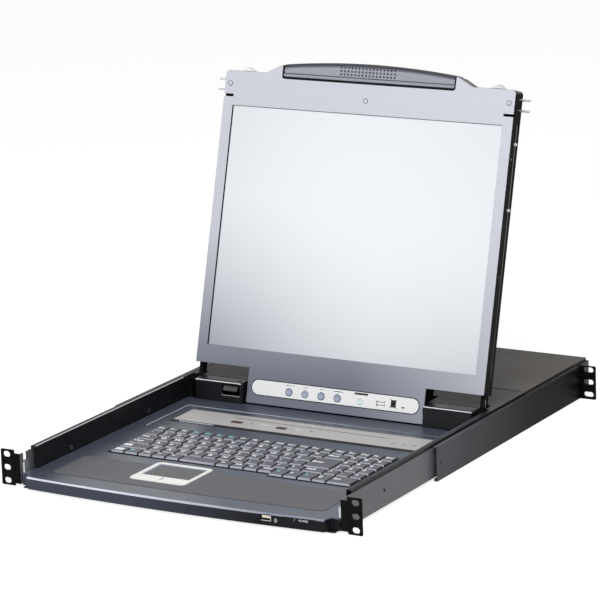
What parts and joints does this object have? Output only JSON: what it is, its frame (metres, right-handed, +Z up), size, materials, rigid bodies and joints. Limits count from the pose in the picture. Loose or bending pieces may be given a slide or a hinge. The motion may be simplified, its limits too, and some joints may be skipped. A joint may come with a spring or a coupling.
{
  "type": "kvm switch",
  "caption": "Rack-mounted console drawer: sliding keyboard tray with touchpad, folding flat display, and a switch module between telescopic rails.",
  "frame": {"origin": "centre of the front rack slots, on the front face of the ears", "axes": "+X across the rack to the right as the user faces it, +Y into the rack, +Z up"},
  "size_m": [0.484, 0.658, 0.4301],
  "materials": {
    "black_steel": "black satin powder coat",
    "dark_cover": "fine texture, warm dark grey",
    "zinc_steel": "zinc plated",
    "tray_blue": "slate blue, satin",
    "palm_grey": "speckled warm grey",
    "pad_silver": "silver paint",
    "pad_grey": "fine matt",
    "key_grey": "satin",
    "base_black": "matt",
    "status_silver": "satin light grey",
    "cover_black": "satin black",
    "bezel_silver": "silver blue paint",
    "lid_back": "silver blue coat",
    "grip_grey": "gunmetal",
    "strip_white": "white",
    "button_grey": "pale blue grey",
    "power_cyan": "pale cyan",
    "jack_black": "matt black",
    "panel_dark": "metal framed panel",
    "screen_glass": "pale blue white",
    "board_green": "lacquered board",
    "port_blue": "blue insert with a plated shell",
    "port_black": "matt black",
    "lamp_green": "green lens",
    "socket_steel": "plated"
  },
  "bodies": {
    "chassis": {"rail_left": "black_steel", "rail_right": "black_steel", "bracket_guides": "zinc_steel", "kvm_case": "black_steel", "kvm_cover": "dark_cover", "rear_panel": "black_steel", "port_connectors": "port_blue", "console_ports": "port_black", "mains_inlet": "base_black", "kvm_board": "board_green", "power_supply": "zinc_steel", "chassis_screws": "zinc_steel"},
    "power_rocker": {"power_rocker": "base_black"},
    "rear_bracket_left": {"rear_bracket_left": "black_steel"},
    "rear_bracket_right": {"rear_bracket_right": "black_steel"},
    "slide_left": {"slide_member_left": "zinc_steel"},
    "slide_right": {"slide_member_right": "zinc_steel"},
    "drawer": {"drawer_wall_left": "black_steel", "drawer_wall_right": "black_steel", "drawer_pan": "black_steel", "rear_deck": "dark_cover", "keyboard_tray": "tray_blue", "palm_plate": "palm_grey", "touchpad_frame": "pad_silver", "touchpad_surface": "pad_grey", "keyboard_base": "base_black", "status_panel": "status_silver", "usb_socket": "socket_steel", "power_led": "lamp_green", "controller_board": "board_green", "hinge_cover_left": "cover_black", "hinge_cover_right": "cover_black", "hinge_brackets": "black_steel", "drawer_screws": "zinc_steel"},
    "touchpad_button_left": {"touchpad_button_left": "pad_silver"},
    "touchpad_button_right": {"touchpad_button_right": "pad_silver"},
    "release_lever": {"release_lever": "cover_black"},
    "lid": {"lcd_bezel": "bezel_silver", "lcd_rear_cover": "lid_back", "lcd_panel": "panel_dark", "screen": "screen_glass", "upper_handle": "grip_grey", "control_strip": "strip_white", "strip_jack": "jack_black", "hinge_arms": "black_steel", "display_board": "board_green", "lcd_screws": "zinc_steel"},
    "catch_left": {"catch_left": "cover_black"},
    "catch_right": {"catch_right": "cover_black"},
    "display_power_button": {"display_power_button": "power_cyan"},
    "key_row_space": {"key_row_space": "key_grey"},
    "key_row_lower": {"key_row_lower": "key_grey"},
    "key_row_home": {"key_row_home": "key_grey"},
    "key_row_upper": {"key_row_upper": "key_grey"},
    "key_row_number": {"key_row_number": "key_grey"},
    "key_row_function": {"key_row_function": "key_grey"},
    "menu_button_1": {"menu_button_1": "button_grey"},
    "menu_button_2": {"menu_button_2": "button_grey"},
    "menu_button_3": {"menu_button_3": "button_grey"},
    "menu_button_4": {"menu_button_4": "button_grey"}
  },
  "joints": [
    {"name": "drawer_slide", "type": "slide", "parent": "chassis", "child": "drawer", "axis": [0, -1, 0], "range_m": [0, 0.42]},
    {"name": "slide_left_travel", "type": "slide", "parent": "chassis", "child": "slide_left", "axis": [0, -1, 0], "range_m": [0, 0.21]},
    {"name": "rear_bracket_left_adjust", "type": "slide", "parent": "chassis", "child": "rear_bracket_left", "axis": [0, 1, 0], "range_m": [-0.06, 0.17]},
    {"name": "slide_right_travel", "type": "slide", "parent": "chassis", "child": "slide_right", "axis": [0, -1, 0], "range_m": [0, 0.21]},
    {"name": "rear_bracket_right_adjust", "type": "slide", "parent": "chassis", "child": "rear_bracket_right", "axis": [0, 1, 0], "range_m": [-0.06, 0.17]},
    {"name": "mains_rocker", "type": "hinge", "parent": "chassis", "child": "power_rocker", "pos_m": [0.18, 0.629, -0.00172], "axis": [1, 0, 0], "range_deg": [-10, 0]},
    {"name": "lcd_hinge", "type": "hinge", "parent": "drawer", "child": "lid", "pos_m": [0, 0.378, 0.01153], "axis": [1, 0, 0], "range_deg": [-14, 105.9]},
    {"name": "catch_left_press", "type": "slide", "parent": "lid", "child": "catch_left", "axis": [1, 0, 0], "range_m": [0, 0.005], "stiffness_N_per_m": 400, "springref_m": -0.005},
    {"name": "touchpad_left_press", "type": "slide", "parent": "drawer", "child": "touchpad_button_left", "axis": [0, 0, -1], "range_m": [0, 0.0005], "stiffness_N_per_m": 600, "springref_m": -0.001},
    {"name": "catch_right_press", "type": "slide", "parent": "lid", "child": "catch_right", "axis": [-1, 0, 0], "range_m": [0, 0.005], "stiffness_N_per_m": 400, "springref_m": -0.005},
    {"name": "touchpad_right_press", "type": "slide", "parent": "drawer", "child": "touchpad_button_right", "axis": [0, 0, -1], "range_m": [0, 0.0005], "stiffness_N_per_m": 600, "springref_m": -0.001},
    {"name": "release_lever_press", "type": "hinge", "parent": "drawer", "child": "release_lever", "pos_m": [0, 0.3596, 0.01537], "axis": [1, 0, 0], "range_deg": [0, 12], "stiffness_Nm_per_rad": 0.04, "springref_deg": -11.46},
    {"name": "key_row_space_press", "type": "slide", "parent": "drawer", "child": "key_row_space", "axis": [0, 0, -1], "range_m": [0, 0.002], "stiffness_N_per_m": 500, "springref_m": -0.004},
    {"name": "key_row_lower_press", "type": "slide", "parent": "drawer", "child": "key_row_lower", "axis": [0, 0, -1], "range_m": [0, 0.002], "stiffness_N_per_m": 500, "springref_m": -0.004},
    {"name": "key_row_home_press", "type": "slide", "parent": "drawer", "child": "key_row_home", "axis": [0, 0, -1], "range_m": [0, 0.002], "stiffness_N_per_m": 500, "springref_m": -0.004},
    {"name": "key_row_upper_press", "type": "slide", "parent": "drawer", "child": "key_row_upper", "axis": [0, 0, -1], "range_m": [0, 0.002], "stiffness_N_per_m": 500, "springref_m": -0.004},
    {"name": "key_row_number_press", "type": "slide", "parent": "drawer", "child": "key_row_number", "axis": [0, 0, -1], "range_m": [0, 0.002], "stiffness_N_per_m": 500, "springref_m": -0.004},
    {"name": "key_row_function_press", "type": "slide", "parent": "drawer", "child": "key_row_function", "axis": [0, 0, -1], "range_m": [0, 0.002], "stiffness_N_per_m": 500, "springref_m": -0.004},
    {"name": "menu_button_1_press", "type": "slide", "parent": "lid", "child": "menu_button_1", "axis": [0, 0.9616, -0.2745], "range_m": [0, 0.0007], "stiffness_N_per_m": 500, "springref_m": -0.002},
    {"name": "menu_button_2_press", "type": "slide", "parent": "lid", "child": "menu_button_2", "axis": [0, 0.9616, -0.2745], "range_m": [0, 0.0007], "stiffness_N_per_m": 500, "springref_m": -0.002},
    {"name": "menu_button_3_press", "type": "slide", "parent": "lid", "child": "menu_button_3", "axis": [0, 0.9616, -0.2745], "range_m": [0, 0.0007], "stiffness_N_per_m": 500, "springref_m": -0.002},
    {"name": "menu_button_4_press", "type": "slide", "parent": "lid", "child": "menu_button_4", "axis": [0, 0.9616, -0.2745], "range_m": [0, 0.0007], "stiffness_N_per_m": 500, "springref_m": -0.002},
    {"name": "display_power_press", "type": "slide", "parent": "lid", "child": "display_power_button", "axis": [0, 0.9616, -0.2745], "range_m": [0, 0.0007], "stiffness_N_per_m": 500, "springref_m": -0.002}
  ],
  "couplings": [
    {"joint": "slide_left_travel", "follows": "drawer_slide", "ratio": 0.5},
    {"joint": "slide_right_travel", "follows": "drawer_slide", "ratio": 0.5}
  ]
}
